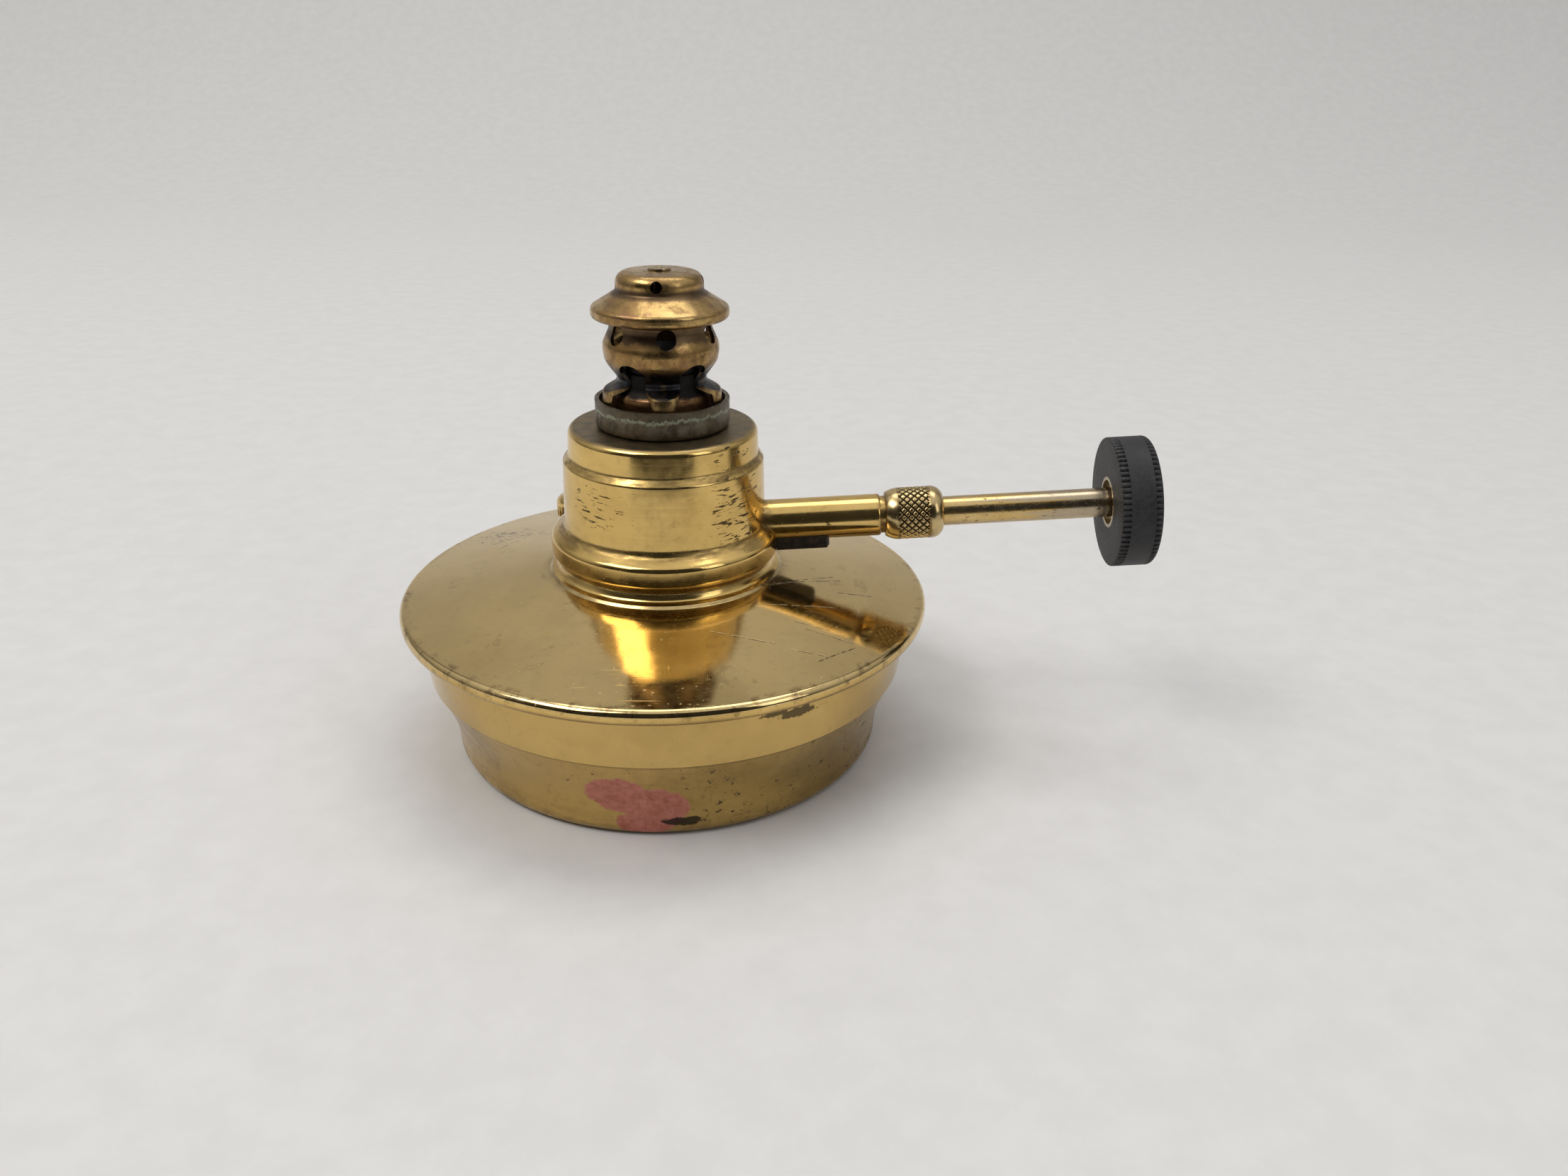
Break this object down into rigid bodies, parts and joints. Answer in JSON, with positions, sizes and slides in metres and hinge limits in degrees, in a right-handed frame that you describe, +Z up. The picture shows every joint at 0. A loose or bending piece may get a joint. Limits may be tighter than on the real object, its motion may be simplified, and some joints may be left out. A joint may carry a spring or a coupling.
{
  "type": "alcohol burner",
  "caption": "Round wick-fed spirit burner: spun tank, stepped column, priming cup, pierced push-on head, filler cap and a long side spindle with a disc knob.",
  "frame": {"origin": "centre of the tank's underside, on the column axis, where the burner stands on the table", "axes": "+Z up along the column axis; +X the way the spindle runs out to the knob, in plan; +Y away from the picture's viewpoint"},
  "size_m": [0.1437, 0.1016, 0.0914],
  "materials": {
    "pan_brass": "polished, stained",
    "tank_brass": "polished, scratched",
    "cover_brass": "polished, oxidised on top",
    "inner_brass": "turned, dull",
    "wick_cotton": "cotton, soft",
    "jet_brass": "heat-dulled",
    "copper_washer": "dull copper colour",
    "cup_brass": "dark, with green patina",
    "core_brass": "heat-tarnished",
    "gauze_black": "fine gauze, sooted",
    "tube_brass": "polished",
    "saddle_black": "blackened",
    "packing_fibre": "graphited fibre",
    "filler_brass": "polished, knurled",
    "needle_steel": "ground",
    "rod_brass": "worn, grey streak",
    "knob_black": "matte, worn edges",
    "bush_brass": "turned",
    "nut_brass": "knurled, dirt in the knurl",
    "seal_rubber": "matte",
    "head_brass": "heat-tarnished, sooty foot",
    "eyelet_brass": "worn bright"
  },
  "bodies": {
    "burner": {"base_pan": "pan_brass", "tank_shell": "tank_brass", "column_cover": "cover_brass", "wick_tube": "inner_brass", "wick": "wick_cotton", "valve_body": "inner_brass", "jet_nozzle": "jet_brass", "jet_washer": "copper_washer", "priming_cup": "cup_brass", "burner_core": "core_brass", "flame_gauze": "gauze_black", "side_tube": "tube_brass", "tube_saddle": "saddle_black", "packing_ring": "packing_fibre", "filler_neck": "filler_brass"},
    "needle": {"valve_needle": "needle_steel"},
    "spindle": {"spindle_rod": "rod_brass", "control_knob": "knob_black", "knob_bush": "bush_brass", "knob_screw": "bush_brass"},
    "packing_follower": {"packing_washer": "inner_brass"},
    "gland_nut": {"packing_nut": "nut_brass"},
    "cap_follower": {"filler_washer": "seal_rubber"},
    "cap": {"filler_cap": "filler_brass"},
    "head": {"burner_head": "head_brass", "baffle_disc": "head_brass", "crown_eyelet": "eyelet_brass"}
  },
  "joints": [
    {"name": "needle_slide", "type": "slide", "parent": "burner", "child": "needle", "axis": [0.9971, 0, 0.0767], "range_m": [0, 0.002]},
    {"name": "spindle_turn", "type": "hinge", "parent": "needle", "child": "spindle", "pos_m": [0, 0, 0.0425], "axis": [0.9971, 0, 0.0767], "range_deg": [0, 720]},
    {"name": "packing_slide", "type": "slide", "parent": "burner", "child": "packing_follower", "axis": [0.9971, 0, 0.0767], "range_m": [0, 0.003]},
    {"name": "nut_turn", "type": "hinge", "parent": "packing_follower", "child": "gland_nut", "pos_m": [0, 0, 0.0425], "axis": [0.9971, 0, 0.0767], "range_deg": [0, 1440]},
    {"name": "cap_lift", "type": "slide", "parent": "burner", "child": "cap_follower", "axis": [-0.0846, 0.1436, 0.986], "range_m": [0, 0.003]},
    {"name": "cap_turn", "type": "hinge", "parent": "cap_follower", "child": "cap", "pos_m": [-0.02002, 0.03399, 0.03212], "axis": [-0.0846, 0.1436, 0.986], "range_deg": [0, 1080]},
    {"name": "head_lift", "type": "slide", "parent": "burner", "child": "head", "axis": [0, 0, 1], "range_m": [0, 0.012]}
  ],
  "couplings": [
    {"joint": "needle_slide", "follows": "spindle_turn", "m_per_rad": 0.00015915},
    {"joint": "packing_slide", "follows": "nut_turn", "m_per_rad": 0.00011937},
    {"joint": "cap_lift", "follows": "cap_turn", "m_per_rad": 0.00015915}
  ]
}
